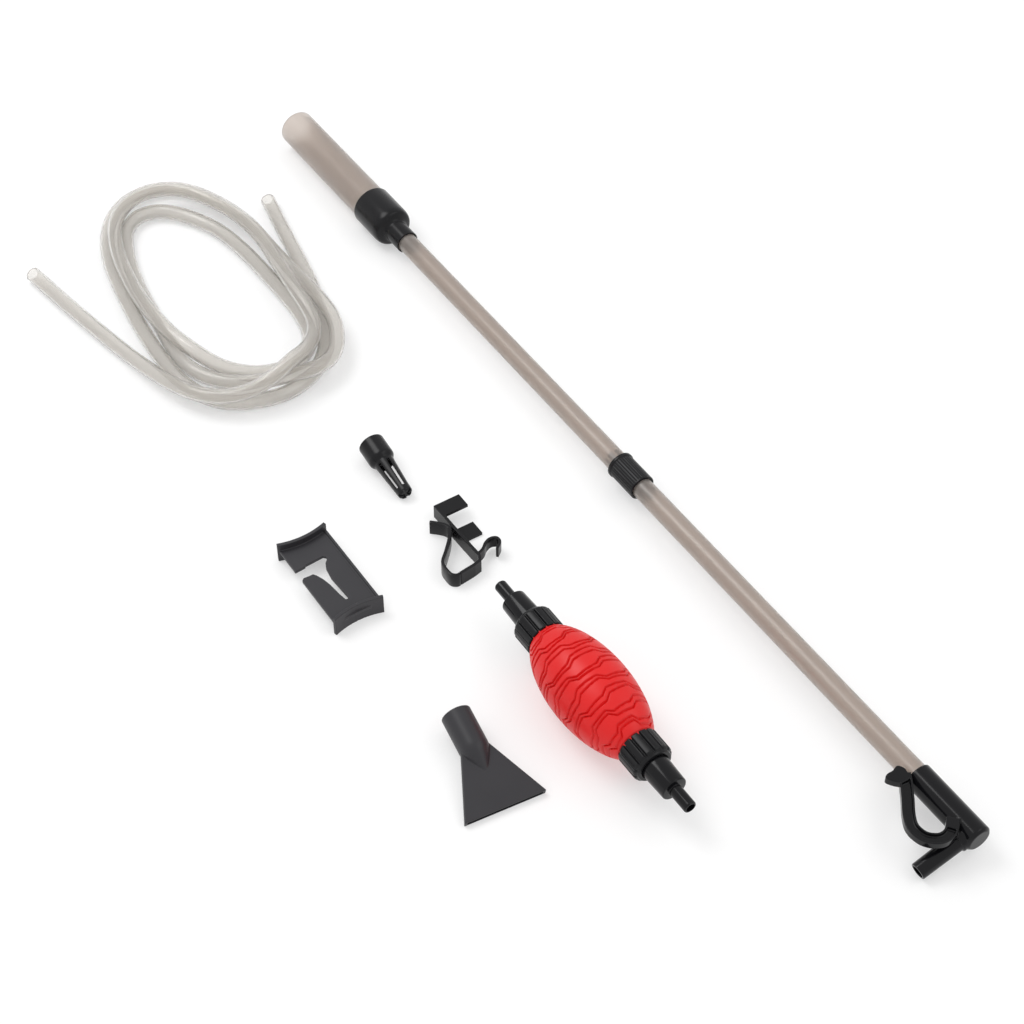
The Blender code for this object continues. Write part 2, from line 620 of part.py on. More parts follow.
def flat_nozzle():
    """A round socket that runs into a hollow fan blade with a slit at its end."""
    rest = NOZZLE_NECK + 2.5 * MM  # the socket's far rim and the blade's end lie on the floor
    drop = math.atan2(NOZZLE_TUBE_R - NOZZLE_BLADE / 2.0, NOZZLE_LENGTH - rest)
    height = NOZZLE_TUBE_R * math.cos(drop) + rest * math.sin(drop)
    frame = make_frame("nozzle_axis", (*NOZZLE_PLACE, height),
                       heading=NOZZLE_HEADING, pitch=drop)
    flat = make_frame("nozzle_flat", (0.0, 0.0, 0.0), along_x=False)
    flat.rotation_euler = (math.radians(90.0), 0.0, math.radians(90.0))
    place(flat, frame)
    half = NOZZLE_BLADE / 2.0
    nozzle = turned("flat_nozzle", [
        (0.0, 47.5 * MM), (half - 1.2 * MM, 47.5 * MM), (NOZZLE_TUBE_R, NOZZLE_NECK + 2.5 * MM),
        (NOZZLE_TUBE_R, 0.0), (0.0, 0.0)], frame, steps=40)
    edge = 0.8 * MM
    fan = [(-NOZZLE_TUBE_R + edge, NOZZLE_NECK), (NOZZLE_TUBE_R - edge, NOZZLE_NECK),
           (NOZZLE_HALF_WIDTH - edge, NOZZLE_LENGTH - edge),
           (-NOZZLE_HALF_WIDTH + edge, NOZZLE_LENGTH - edge)]
    blade = extruded("nozzle_blade", fan, -half, half, flat, rounding=edge)
    combine(nozzle, blade, "UNION")
    bore = turned("nozzle_bore", [
        (0.0, 43.5 * MM), (1.6 * MM, 43.5 * MM), (NOZZLE_TUBE_R - NOZZLE_WALL, NOZZLE_NECK + 1.5 * MM),
        (NOZZLE_TUBE_R - NOZZLE_WALL, -MM), (0.0, -MM)], frame)
    combine(nozzle, bore, "DIFFERENCE")
    slope = (NOZZLE_HALF_WIDTH - NOZZLE_TUBE_R) / (NOZZLE_LENGTH - NOZZLE_NECK)
    inner_low = NOZZLE_TUBE_R - 2.2 * MM
    inner_high = inner_low + slope * (NOZZLE_LENGTH - NOZZLE_NECK + MM)
    space = [(-inner_low, NOZZLE_NECK), (inner_low, NOZZLE_NECK),
             (inner_high, NOZZLE_LENGTH + MM), (-inner_high, NOZZLE_LENGTH + MM)]
    slit = NOZZLE_SLIT / 2.0
    combine(nozzle, extruded("nozzle_slit", space, -slit, slit, flat), "DIFFERENCE")
    finish(nozzle, CHARCOAL)


def flow_plate():
    """A plate with a tapering slot that pinches the hose, between two curved flanges."""
    x0, y0 = PLATE_PLACE
    outline = [
        (1.0, 0.0), (24.7, 0.0), (24.2, 8.0), (23.2, 9.0), (22.4, 23.4), (24.2, 25.0),
        (26.6, 24.0), (29.0, 21.6), (33.5, 19.6), (43.0, 18.3), (63.6, 19.4), (65.8, 18.6),
        (65.6, 17.0), (59.0, 15.8), (48.0, 14.6), (41.0, 13.0), (36.0, 11.0), (33.4, 9.4),
        (33.0, 1.8), (34.6, 0.0), (80.0, 0.0), (80.0, 37.0), (1.0, 37.0),
    ]
    outline = [(x0 + u * MM, y0 + v * MM) for u, v in outline]
    plate = extruded("flow_control_plate", outline, PLATE_Z, PLATE_Z + PLATE_THICKNESS)
    far = y0 + PLATE_WIDTH
    lip = box("plate_lip", (x0 + 2.0 * MM, far - 1.6 * MM, PLATE_Z + MM),
              (x0 + PLATE_LENGTH - 2.0 * MM, far + 0.2 * MM, PLATE_Z + 4.0 * MM))
    combine(plate, lip, "UNION")
    overhang = 0.8 * MM
    for name, x, hollow in (("flange_low", x0, FLANGE_HOLLOW),
                            ("flange_high", x0 + PLATE_LENGTH, -FLANGE_HOLLOW)):
        y_mid = y0 + PLATE_WIDTH / 2.0
        reach = PLATE_WIDTH / 2.0 + overhang
        path = []
        for i in range(9):
            across = -1.0 + i / 4.0
            path.append(Vector((x + hollow * (1.0 - across ** 2), y_mid + across * reach, 0.0)))
        strip = band(path, [FLANGE_THICKNESS / 2.0] * len(path))
        combine(plate, extruded(name, strip, 0.0, FLANGE_HEIGHT), "UNION")
    finish(plate, CHARCOAL)


def rim_clip():
    """A clip with two jaws for a tank's rim, a small hook and a springy hose loop."""
    half = CLIP_BAND / 2.0
    low = 0.0
    spine = in_mm([(4.6, -11.6), (20.0, -11.3), (45.0, -10.8), (62.0, -10.3), (66.4, -12.6),
                   (67.6, -18.0), (69.0, -30.4)])
    body = extruded("clip_body", band(spine, [half] * len(spine)), low, CLIP_HEIGHT)
    tabs = (
        ("clip_upper_jaw", (4.6, -12.4), (17.0, 8.6), CLIP_HEIGHT - CLIP_TAB, CLIP_HEIGHT),
        ("clip_lower_jaw", (25.2, -11.6), (38.0, 7.4), low, low + CLIP_TAB),
    )
    for name, (x0, y0), (x1, y1), z0, z1 in tabs:
        combine(body, box(name, (x0 * MM, y0 * MM, z0), (x1 * MM, y1 * MM, z1)), "UNION")
    claw = in_mm([(60.5, -10.5), (58.2, -5.0), (54.6, -0.6), (52.8, 4.4), (54.6, 8.8),
                  (59.2, 8.6), (63.6, 3.4)])
    claw = smooth_curve(claw, 3)
    strip = band(claw, [half * 0.9] * len(claw))
    combine(body, extruded("clip_hook", strip, 2.5 * MM, CLIP_HEIGHT), "UNION")
    finish(body, BLACK)

    arm_path = in_mm([(69.04, -30.7), (69.2, -33.0), (66.6, -36.0), (61.0, -36.6), (53.5, -35.2), (46.0, -28.0),
                      (37.0, -19.6), (29.4, -14.6), (25.0, -14.8), (20.6, -18.2), (16.0, -23.0)])
    arm_path = smooth_curve(arm_path, 2)
    arm = extruded("clip_spring_arm", band(arm_path, [half] * len(arm_path)), low, CLIP_HEIGHT)
    finish(arm, BLACK)


# ---------------------------------------------------------------- hose

def even_stations(points, count):
    """Points at equal steps of length along a fine curve."""
    lengths = [0.0]
    for a, b in zip(points, points[1:]):
        lengths.append(lengths[-1] + (b - a).length)
    stations = []
    span = 0
    for i in range(count):
        target = lengths[-1] * i / (count - 1)
        while span < len(points) - 2 and lengths[span + 1] < target:
            span += 1
        share = (target - lengths[span]) / (lengths[span + 1] - lengths[span])
        stations.append(points[span].lerp(points[span + 1], share))
    return stations


def siphon_hose():
    fine = smooth_curve([Vector(p) * MM for p in HOSE_ROUTE], 12)
    stations = even_stations(fine, HOSE_STATIONS)
    curve = bpy.data.curves.new("siphon_hose", "CURVE")
    curve.dimensions = "3D"
    curve.bevel_depth = HOSE_R
    curve.bevel_resolution = 2
    curve.use_fill_caps = True
    curve.materials.append(HOSE)
    spline = curve.splines.new("POLY")
    spline.points.add(len(stations) - 1)
    for point, station in zip(spline.points, stations):
        point.co = (station.x, station.y, max(station.z, HOSE_R + 0.1 * MM), 1.0)
    PARTS.objects.link(bpy.data.objects.new("siphon_hose", curve))


clear_scene()
PARTS = make_collection("gravel_vacuum_siphon")
TOOLS = make_collection("cutters")
SMOKE = make_material("smoky_plastic", (0.40, 0.34, 0.30), 0.12)
BLACK = make_material("black_plastic", (0.03, 0.03, 0.032), 0.45)
BLACK_GLOSS = make_material("black_gloss_plastic", (0.02, 0.02, 0.022), 0.22)
CHARCOAL = make_material("charcoal_plastic", (0.075, 0.075, 0.08), 0.5)
RUBBER = make_material("red_rubber", (0.72, 0.02, 0.02), 0.4)
SEAL = make_material("seal_rubber", (0.05, 0.05, 0.05), 0.6)
HOSE = make_material("clear_vinyl", (0.72, 0.71, 0.68), 0.15)

wand()
squeeze_bulb()
strainer_basket()
flat_nozzle()
flow_plate()
rim_clip()
siphon_hose()
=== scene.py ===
"""Looks for a gravel vacuum siphon kit laid out on a pale floor.

Lengths are in metres and written as n * MM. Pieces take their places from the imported
model's own frame, which this script never moves.
"""

import math

import bmesh
import bpy
from mathutils import Matrix, Vector


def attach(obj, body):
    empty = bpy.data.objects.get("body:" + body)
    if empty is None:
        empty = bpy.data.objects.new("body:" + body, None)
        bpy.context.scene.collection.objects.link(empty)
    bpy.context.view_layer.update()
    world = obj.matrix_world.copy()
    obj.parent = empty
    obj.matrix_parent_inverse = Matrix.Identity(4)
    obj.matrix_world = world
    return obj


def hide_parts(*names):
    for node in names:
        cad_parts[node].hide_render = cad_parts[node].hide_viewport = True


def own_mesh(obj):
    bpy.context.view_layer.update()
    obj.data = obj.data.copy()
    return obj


MM = 0.001
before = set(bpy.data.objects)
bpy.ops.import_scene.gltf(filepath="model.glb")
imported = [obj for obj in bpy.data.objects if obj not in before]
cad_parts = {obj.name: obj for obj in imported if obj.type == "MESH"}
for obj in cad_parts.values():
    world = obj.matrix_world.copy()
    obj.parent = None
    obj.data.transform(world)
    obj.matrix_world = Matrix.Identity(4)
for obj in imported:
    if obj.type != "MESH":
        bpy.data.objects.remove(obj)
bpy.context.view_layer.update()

WAND_Y, WAND_Z = 119.6 * MM, 17.0 * MM
BULB = Vector((213.8, -20.6, 27.5)) * MM
SOCKET_BORE_R = 8.3 * MM
CROSS_SLOTS = 3
QUARTER_TURN = math.radians(90.0)

LENS = 72.7
EYE, LOOK_AT = Vector((0.8825, -0.5160, 1.0890)), Vector((0.0309, 0.0371, 0.0))
FLOOR_REACH, FLOOR_GLOW, SKY_STRENGTH = 12.0, 0.42, 0.82


# ---------------------------------------------------------------- camera, floor, light

def make_camera():
    data = bpy.data.cameras.new("camera")
    data.lens = LENS
    data.sensor_width = 36.0
    data.clip_start, data.clip_end = 0.01, 50.0
    camera = bpy.data.objects.new("camera", data)
    bpy.context.scene.collection.objects.link(camera)
    camera.location = EYE
    camera.rotation_mode = "QUATERNION"
    camera.rotation_quaternion = (LOOK_AT - camera.location).to_track_quat("-Z", "Y")
    bpy.context.scene.camera = camera


def area_light(name, location, size, power):
    """A rectangular light that faces the middle of the floor."""
    data = bpy.data.lights.new(name, "AREA")
    data.shape = "RECTANGLE"
    data.size, data.size_y = size
    data.energy = power
    light = bpy.data.objects.new(name, data)
    bpy.context.scene.collection.objects.link(light)
    light.location = location
    light.rotation_mode = "QUATERNION"
    light.rotation_quaternion = (-Vector(location)).to_track_quat("-Z", "Y")


def make_stage():
    mesh = bpy.data.meshes.new("floor")
    corners = [(-1, -1), (1, -1), (1, 1), (-1, 1)]
    mesh.from_pydata([(x * FLOOR_REACH, y * FLOOR_REACH, 0) for x, y in corners], [], [(0, 1, 2, 3)])
    floor = add_object("floor", mesh)
    material = bpy.data.materials.new("floor")
    material.use_nodes = True
    shader = material.node_tree.nodes["Principled BSDF"]
    shader.inputs["Base Color"].default_value = (0.55, 0.55, 0.55, 1.0)
    shader.inputs["Emission Color"].default_value = (1.0, 1.0, 1.0, 1.0)
    shader.inputs["Emission Strength"].default_value = FLOOR_GLOW
    shader.inputs["Roughness"].default_value = 0.85
    shader.inputs["Specular IOR Level"].default_value = 0.2
    mesh.materials.append(material)
    world = bpy.data.worlds.new("studio")
    world.use_nodes = True
    sky = world.node_tree.nodes["Background"]
    sky.inputs["Color"].default_value = (1.0, 1.0, 1.0, 1.0)
    sky.inputs["Strength"].default_value = SKY_STRENGTH
    scene = bpy.context.scene
    scene.world = world
    area_light("key", (-0.9, -0.5, 1.7), (1.0, 1.0), 14.0)
    area_light("fill", (0.9, 0.9, 1.5), (1.4, 0.8), 4.0)
    scene.view_settings.view_transform = "Standard"
    scene.view_settings.look = "None"
    scene.view_settings.exposure = 0.0
    scene.cycles.max_bounces = 16
    scene.cycles.transmission_bounces = 14
    scene.cycles.transparent_max_bounces = 16
    scene.cycles.blur_glossy = 1.0
    scene.cycles.sample_clamp_indirect = 2.0


# ---------------------------------------------------------------- materials

def plastic(name, colour, roughness, grain=900.0, bump=0.06, variation=0.25, spread=0.06,
            transmission=0.0, ior=1.49, specular=0.5):
    """A moulded finish: fine grain in the surface and a slow drift in colour and gloss."""
    material = bpy.data.materials.new(name)
    material.use_nodes = True
    nodes, links = material.node_tree.nodes, material.node_tree.links
    shader = nodes["Principled BSDF"]
    shader.inputs["IOR"].default_value = ior
    shader.inputs["Transmission Weight"].default_value = transmission
    shader.inputs["Specular IOR Level"].default_value = specular
    place = nodes.new("ShaderNodeTexCoord")
    slow = nodes.new("ShaderNodeTexNoise")
    slow.inputs["Scale"].default_value = 38.0
    slow.inputs["Detail"].default_value = 3.0
    fine = nodes.new("ShaderNodeTexNoise")
    fine.inputs["Scale"].default_value = grain
    fine.inputs["Detail"].default_value = 2.0
    tint = nodes.new("ShaderNodeMix")
    tint.data_type = "RGBA"
    tint.inputs["A"].default_value = (*[c * (1.0 - variation / 2.0) for c in colour], 1.0)
    tint.inputs["B"].default_value = (*[min(c * (1.0 + variation / 2.0), 1.0) for c in colour], 1.0)
    gloss = nodes.new("ShaderNodeMapRange")
    gloss.inputs["To Min"].default_value = max(roughness - spread, 0.02)
    gloss.inputs["To Max"].default_value = roughness + spread
    relief = nodes.new("ShaderNodeBump")
    relief.inputs["Strength"].default_value = bump
    relief.inputs["Distance"].default_value = 0.00015
    links.new(place.outputs["Object"], slow.inputs["Vector"])
    links.new(place.outputs["Object"], fine.inputs["Vector"])
    links.new(slow.outputs["Fac"], tint.inputs["Factor"])
    links.new(tint.outputs["Result"], shader.inputs["Base Color"])
    links.new(slow.outputs["Fac"], gloss.inputs["Value"])
    links.new(gloss.outputs["Result"], shader.inputs["Roughness"])
    links.new(fine.outputs["Fac"], relief.inputs["Height"])
    links.new(relief.outputs["Normal"], shader.inputs["Normal"])
    return material


# ---------------------------------------------------------------- shape helpers

def add_object(name, mesh):
    obj = bpy.data.objects.new(name, mesh)
    bpy.context.scene.collection.objects.link(obj)
    return obj


def from_bmesh(name, shape, matrix=None):
    bmesh.ops.recalc_face_normals(shape, faces=shape.faces)
    mesh = bpy.data.meshes.new(name)
    shape.to_mesh(mesh)
    shape.free()
    obj = add_object(name, mesh)
    if matrix:
        mesh.transform(matrix)
    return obj


def applied(obj):
    """Bake the object's modifiers into its mesh."""
    bpy.context.view_layer.update()
    graph = bpy.context.evaluated_depsgraph_get()
    mesh = bpy.data.meshes.new_from_object(obj.evaluated_get(graph))
    obj.modifiers.clear()
    obj.data = mesh
    return obj


def joined(name, *objects):
    """One object that holds the meshes of several, which may cross each other."""
    shape = bmesh.new()
    for obj in objects:
        shape.from_mesh(obj.data)
        bpy.data.objects.remove(obj, do_unlink=True)
    mesh = bpy.data.meshes.new(name)
    shape.to_mesh(mesh)
    shape.free()
    return add_object(name, mesh)


def fused(obj, voxel, passes=6):
    """Melt crossing solids into one skin with soft inner and outer corners."""
    remesh = obj.modifiers.new("melt", "REMESH")
    remesh.mode = "VOXEL"
    remesh.voxel_size = voxel
    soften = obj.modifiers.new("soften", "SMOOTH")
    soften.factor = 0.5
    soften.iterations = passes
    return applied(obj)


def cut(obj, *tools):
    """Subtract each tool from the object, then remove the tool."""
    for tool in tools:
        modifier = obj.modifiers.new("cut", "BOOLEAN")
        modifier.operation = "DIFFERENCE"
        modifier.solver = "EXACT"
        modifier.object = tool
        applied(obj)
        bpy.data.objects.remove(tool, do_unlink=True)
    return obj


def rounded(outline, radius, steps=4, closed=True):
    """The outline with its corners rounded. A point may carry its own radius as a third value."""
    count = len(outline)
    result = []
    for i, point in enumerate(outline):
        here = Vector(point[:2])
        size = point[2] if len(point) > 2 else radius
        if size <= 0.0 or (not closed and i in (0, count - 1)):
            result.append(tuple(here))
            continue
        back = Vector(outline[i - 1][:2]) - here
        ahead = Vector(outline[(i + 1) % count][:2]) - here
        reach = min(size, 0.45 * back.length, 0.45 * ahead.length)
        a, b = here + back.normalized() * reach, here + ahead.normalized() * reach
        for step in range(steps + 1):
            t = step / steps
            result.append(tuple((1 - t) ** 2 * a + 2 * t * (1 - t) * here + t * t * b))
    return result


def lathe(name, outline, matrix=None, segments=96, shape_at=None):
    """Turn an outline of (radius, height) about Z. shape_at(r, z, angle) may vary the radius."""
    shape = bmesh.new()
    rings = []
    for r, z in outline:
        if r < 1e-6:
            rings.append([shape.verts.new((0.0, 0.0, z))])
            continue
        ring = []
        for i in range(segments):
            angle = 2.0 * math.pi * i / segments
            radius = shape_at(r, z, angle) if shape_at else r
            ring.append(shape.verts.new((radius * math.cos(angle), radius * math.sin(angle), z)))
        rings.append(ring)
    pairs = list(zip(rings, rings[1:]))
    if len(rings[0]) > 1:
        pairs.append((rings[-1], rings[0]))
    for low, high in pairs:
        for i in range(segments):
            j = (i + 1) % segments
            corners = [low[i % len(low)], low[j % len(low)], high[j % len(high)], high[i % len(high)]]
            unique = list(dict.fromkeys(corners))
            if len(unique) > 2:
                shape.faces.new(unique)
    return from_bmesh(name, shape, matrix)


def prism(name, outline, low, high, bevel=0.0, matrix=None):
    """A flat outline raised from one height to another, its edges bevelled if asked."""
    shape = bmesh.new()
    face = shape.faces.new([shape.verts.new((x, y, low)) for x, y in outline])
    lifted = bmesh.ops.extrude_face_region(shape, geom=[face])["geom"]
    verts = [item for item in lifted if isinstance(item, bmesh.types.BMVert)]
    bmesh.ops.translate(shape, vec=(0.0, 0.0, high - low), verts=verts)
    obj = from_bmesh(name, shape)
    if bevel:
        modifier = obj.modifiers.new("bevel", "BEVEL")
        modifier.width = bevel
        modifier.segments = 2
        modifier.limit_method = "ANGLE"
        modifier.angle_limit = math.radians(40.0)
        applied(obj)
    if matrix:
        obj.data.transform(matrix)
    return obj


def block(name, low, high, matrix=None):
    outline = [(low[0], low[1]), (high[0], low[1]), (high[0], high[1]), (low[0], high[1])]
    return prism(name, outline, low[2], high[2], 0.0, matrix)


def smooth_curve(points, per_span):
    """Catmull-Rom curve through the points."""
    points = [Vector(p) for p in points]
    ends = [2 * points[0] - points[1], *points, 2 * points[-1] - points[-2]]
    curve = []
    for a, b, c, d in zip(ends, ends[1:], ends[2:], ends[3:]):
        for step in range(per_span):
            t = step / per_span
            curve.append(0.5 * (2 * b + (c - a) * t + (2 * a - 5 * b + 4 * c - d) * t * t
                                + (3 * b - a - 3 * c + d) * t ** 3))
    curve.append(points[-1])
    return curve


def band(path, half_widths):
    """Outline of a strip that follows a path, with its own half width at each point."""
    left, right = [], []
    for i, point in enumerate(path):
        ahead = path[min(i + 1, len(path) - 1)]
        behind = path[max(i - 1, 0)]
        direction = (ahead - behind).normalized()
        normal = Vector((-direction.y, direction.x))
        left.append(tuple(point.xy + normal * half_widths[i]))
        right.append(tuple(point.xy - normal * half_widths[i]))
    return left + right[::-1]


def in_mm(points):
    return [Vector((x * MM, y * MM, 0.0)) for x, y in points]


def along(place, heading=0.0, pitch=0.0):
    """Local Z runs along the item's length, from its place."""
    turn = Matrix.Rotation(heading, 4, "Z") @ Matrix.Rotation(QUARTER_TURN + pitch, 4, "Y")
    return Matrix.Translation(place) @ turn


def show(obj, material, body, slot, *nodes, sharp=32.0):
    """Give a piece its material, its body and the CAD nodes that it replaces. The slot is not used.
    """
    obj.data.materials.clear()
    obj.data.materials.append(material)
    obj.data.shade_smooth()
    obj.data.set_sharp_from_angle(angle=math.radians(sharp))
    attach(obj, body)
    if nodes:
        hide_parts(*nodes)
    return obj


# ---------------------------------------------------------------- hose

HOSE_R, HOSE_BORE_R = 6.0 * MM, 4.5 * MM
HOSE_ROUTE = (
    (-392, -146, 6), (-346, -139, 6), (-301, -131, 6), (-259, -123, 7), (-220, -115, 11.5),
    (-191, -105, 15.5), (-173, -90, 17.5), (-163, -70, 21.5), (-161, -50, 28), (-166, -32, 31),
    (-177, -14, 25.5), (-195, 2, 19.5), (-215, 11, 18.5), (-244, 14, 21), (-279, 18, 20.5),
    (-319, 23, 18.5), (-353, 21, 18), (-385, 12, 17.5), (-408, -1, 18), (-419, -17, 18.5),
    (-422, -35, 18.5), (-415, -53, 18.5), (-400, -68, 18), (-373, -80, 17), (-337, -88, 17),
    (-299, -92, 18.5), (-261, -91, 19), (-234, -84, 16), (-211, -71, 9), (-194, -53, 6),
    (-186, -34, 6), (-188, -16, 6), (-198, -2, 6), (-216, 7, 6), (-245, 11, 6), (-288, 11, 6),
    (-330, 9, 6), (-364, 3, 6), (-391, -10, 6.5), (-407, -25, 7), (-411, -40, 7), (-406, -53, 6.5),
    (-392, -64, 6.5), (-363, -75, 6), (-326, -83, 6), (-282, -88, 6), (-242, -92, 6),
    (-217, -88, 6), (-195, -74, 7), (-176, -54, 12.5), (-164, -33, 18.5), (-161, -15, 18.5),
    (-167, 2, 17), (-182, 15, 17), (-205, 24, 18), (-236, 26, 18.5), (-272, 27, 13), (-309, 29, 7),
    (-347, 29, 6), (-381, 24, 6), (-411, 12, 6.5), (-429, -3, 6.5), (-436, -20, 6.5),
    (-435, -40, 6.5), (-425, -58, 6), (-405, -74, 6), (-375, -87, 6), (-338, -95, 6),
    (-295, -101, 6), (-252, -104, 6), (-216, -103, 6), (-190, -95, 6), (-173, -81, 6.5),
    (-163, -60, 6.5), (-161, -37, 6), (-168, -15, 6), (-184, 4, 6), (-208, 18, 6), (-244, 31, 6),
    (-284, 40, 6), (-328, 48, 6), (-373, 57, 6),
)


def hose_path():
    """The hose's centre line, kept just clear of the floor."""
    path = smooth_curve([Vector(p) * MM for p in HOSE_ROUTE], 14)
    return [Vector((p.x, p.y, max(p.z, HOSE_R + 0.1 * MM))) for p in path]


def make_hose(material):
    path = hose_path()
    shape = bmesh.new()
    segments = 36
    side = Vector((0.0, 0.0, 1.0))
    rings = []
    for i, point in enumerate(path):
        direction = (path[min(i + 1, len(path) - 1)] - path[max(i - 1, 0)]).normalized()
        side = (side - direction * side.dot(direction)).normalized()
        other = direction.cross(side)
        ring = []
        for radius in (HOSE_R, HOSE_BORE_R):
            for k in range(segments):
                angle = 2.0 * math.pi * k / segments
                offset = side * math.cos(angle) + other * math.sin(angle)
                ring.append(shape.verts.new(point + offset * radius))
        rings.append(ring)
    for a, b in zip(rings, rings[1:]):
        for base in (0, segments):
            for k in range(segments):
                m = (k + 1) % segments
                shape.faces.new((a[base + k], a[base + m], b[base + m], b[base + k]))
    for ring in (rings[0], rings[-1]):
        for k in range(segments):
            m = (k + 1) % segments
            shape.faces.new((ring[k], ring[m], ring[segments + m], ring[segments + k]))
    hose = show(from_bmesh("hose", shape), material, "hose", "hose", "siphon_hose", sharp=60.0)


# ---------------------------------------------------------------- wand

MOUTH_X, REDUCER_X, NECK_X = -434.0 * MM, -307.9 * MM, -250.9 * MM
COUPLING_X, COUPLING_LENGTH = 47.0 * MM, 28.3 * MM
HANDLE_X, HANDLE_END_X = 375.5 * MM, 434.0 * MM
SLIM_R, SLIM_BORE_R = 8.0 * MM, 6.8 * MM
SPIGOT_R, SPIGOT_BORE_R = 6.5 * MM, 5.3 * MM
STATION_STEP = 8.0 * MM
FLUTES, FLUTE_DEPTH = 26, 0.35 * MM


def wand_place():
    return along((0.0, WAND_Y, WAND_Z))


def tube(name, outer, inner, start, end, segments=96):
    """An open tube along the wand, divided evenly about every STATION_STEP."""
    steps = int((end - start) / STATION_STEP)
    between = [start + (end - start) * i / steps for i in range(1, steps)]
    outline = [(outer, end), *[(outer, x, 0.0) for x in between[::-1]], (outer, start),
               (inner, start), *[(inner, x, 0.0) for x in between], (inner, end)]
    return lathe(name, rounded(outline, 0.35 * MM, 3), wand_place(), segments)


def finger_cutters(low, high):
    """Bars across the wand that slot a spigot into springy fingers."""
    tools = []
    for i in range(CROSS_SLOTS):
        bar = block("bar", (-9 * MM, -1.2 * MM, low), (9 * MM, 1.2 * MM, high))
        bar.data.transform(wand_place() @ Matrix.Rotation(math.pi * i / CROSS_SLOTS, 4, "Z"))
        tools.append(bar)
    return tools


def make_reducer():
    top = REDUCER_X + 33.0 * MM
    floor = REDUCER_X + 20.5 * MM
    neck, cup_r, cup_bore_r = 9.4 * MM, 16.7 * MM, 15.3 * MM
    outline = [
        (neck, NECK_X, 0.4 * MM), (neck, top + 6.0 * MM, 2.0 * MM),
        (11.0 * MM, top + 4.4 * MM, 3.0 * MM), (15.6 * MM, top + 2.4 * MM, 2.6 * MM),
        (cup_r, top - 2.0 * MM, 2.0 * MM), (cup_r, REDUCER_X, 0.5 * MM),
        (cup_bore_r, REDUCER_X, 0.3 * MM), (cup_bore_r, floor), (SOCKET_BORE_R, floor),
        (SPIGOT_BORE_R, floor + 4.0 * MM), (SPIGOT_BORE_R, NECK_X + 8.5 * MM),
        (SPIGOT_R, NECK_X + 8.5 * MM), (SPIGOT_R, NECK_X - 15.0 * MM, 0.0),
        (SOCKET_BORE_R, NECK_X - 15.0 * MM, 0.0), (SOCKET_BORE_R, NECK_X, 0.3 * MM),
    ]
    reducer = lathe("reducer", rounded(outline, 0.3 * MM, 4), wand_place(), 128)
    return cut(reducer, *finger_cutters(NECK_X + 0.6 * MM, NECK_X + 9.5 * MM))


def make_coupling():
    low, high = COUPLING_X, COUPLING_X + COUPLING_LENGTH
    middle = (low + high) / 2.0
    rib, reach = 0.8 * MM, 8.5 * MM
    collar_r, lip_r = 10.0 * MM, 10.6 * MM
    outline = [
        (collar_r, high, 0.5 * MM), (collar_r, high - 1.6 * MM, 0.0),
        (collar_r, low + 3.4 * MM, 0.0), (collar_r, low + 2.7 * MM, 0.3 * MM),
        (lip_r, low + 2.3 * MM, 0.3 * MM), (lip_r, low, 0.5 * MM),
        (SOCKET_BORE_R, low, 0.2 * MM), (SOCKET_BORE_R, middle - rib), (SPIGOT_R, middle - rib),
        (SPIGOT_R, low - reach), (SPIGOT_BORE_R, low - reach), (SPIGOT_BORE_R, high + reach),
        (SPIGOT_R, high + reach), (SPIGOT_R, middle + rib), (SOCKET_BORE_R, middle + rib),
        (SOCKET_BORE_R, high, 0.2 * MM),
    ]

    def fluted(r, z, angle):
        inside = low + 3.0 * MM < z < high - 1.0 * MM and r > 9.0 * MM
        return r - (FLUTE_DEPTH * max(0.0, math.cos(FLUTES * angle)) ** 3 if inside else 0.0)

    collar = lathe("coupling", rounded(outline, 0.15 * MM, 3), wand_place(), 208, fluted)
    cut(collar, *finger_cutters(low - reach - MM, low - 0.6 * MM))
    return cut(collar, *finger_cutters(high + 0.6 * MM, high + reach + MM))


HOOK_Z, HOOK_HALF = 23.6 * MM, 2.8 * MM
PIPE_X, PIPE_DROOP = 425.8 * MM, math.radians(15.4)


def hook_solids():
    path = smooth_curve(in_mm([(416.0, 112.0), (423.0, 104.0), (423.6, 95.5), (417.5, 88.2),
                               (408.0, 86.6), (399.5, 90.6), (390.0, 97.8), (379.5, 105.3),
                               (373.6, 108.9)]), 8)
    low, high = HOOK_Z - HOOK_HALF, HOOK_Z + HOOK_HALF
    strip = prism("hook_band", band(path, [4.1 * MM] * len(path)), low, high)
    narrow = path[6:-4]
    groove = prism("groove", band(narrow, [2.8 * MM] * len(narrow)), high - 2.4 * MM, high + MM)
    cut(strip, groove)
    toe = smooth_curve(in_mm([(379.0, 102.4), (379.0, 108.0), (375.0, 110.4), (370.7, 111.1),
                              (367.0, 108.3), (368.4, 103.6), (368.4, 99.4), (370.4, 96.2),
                              (375.0, 98.6), (379.0, 102.4)]), 4)[:-1]
    return strip, prism("hook_toe", [tuple(p.xy) for p in toe], low, high)


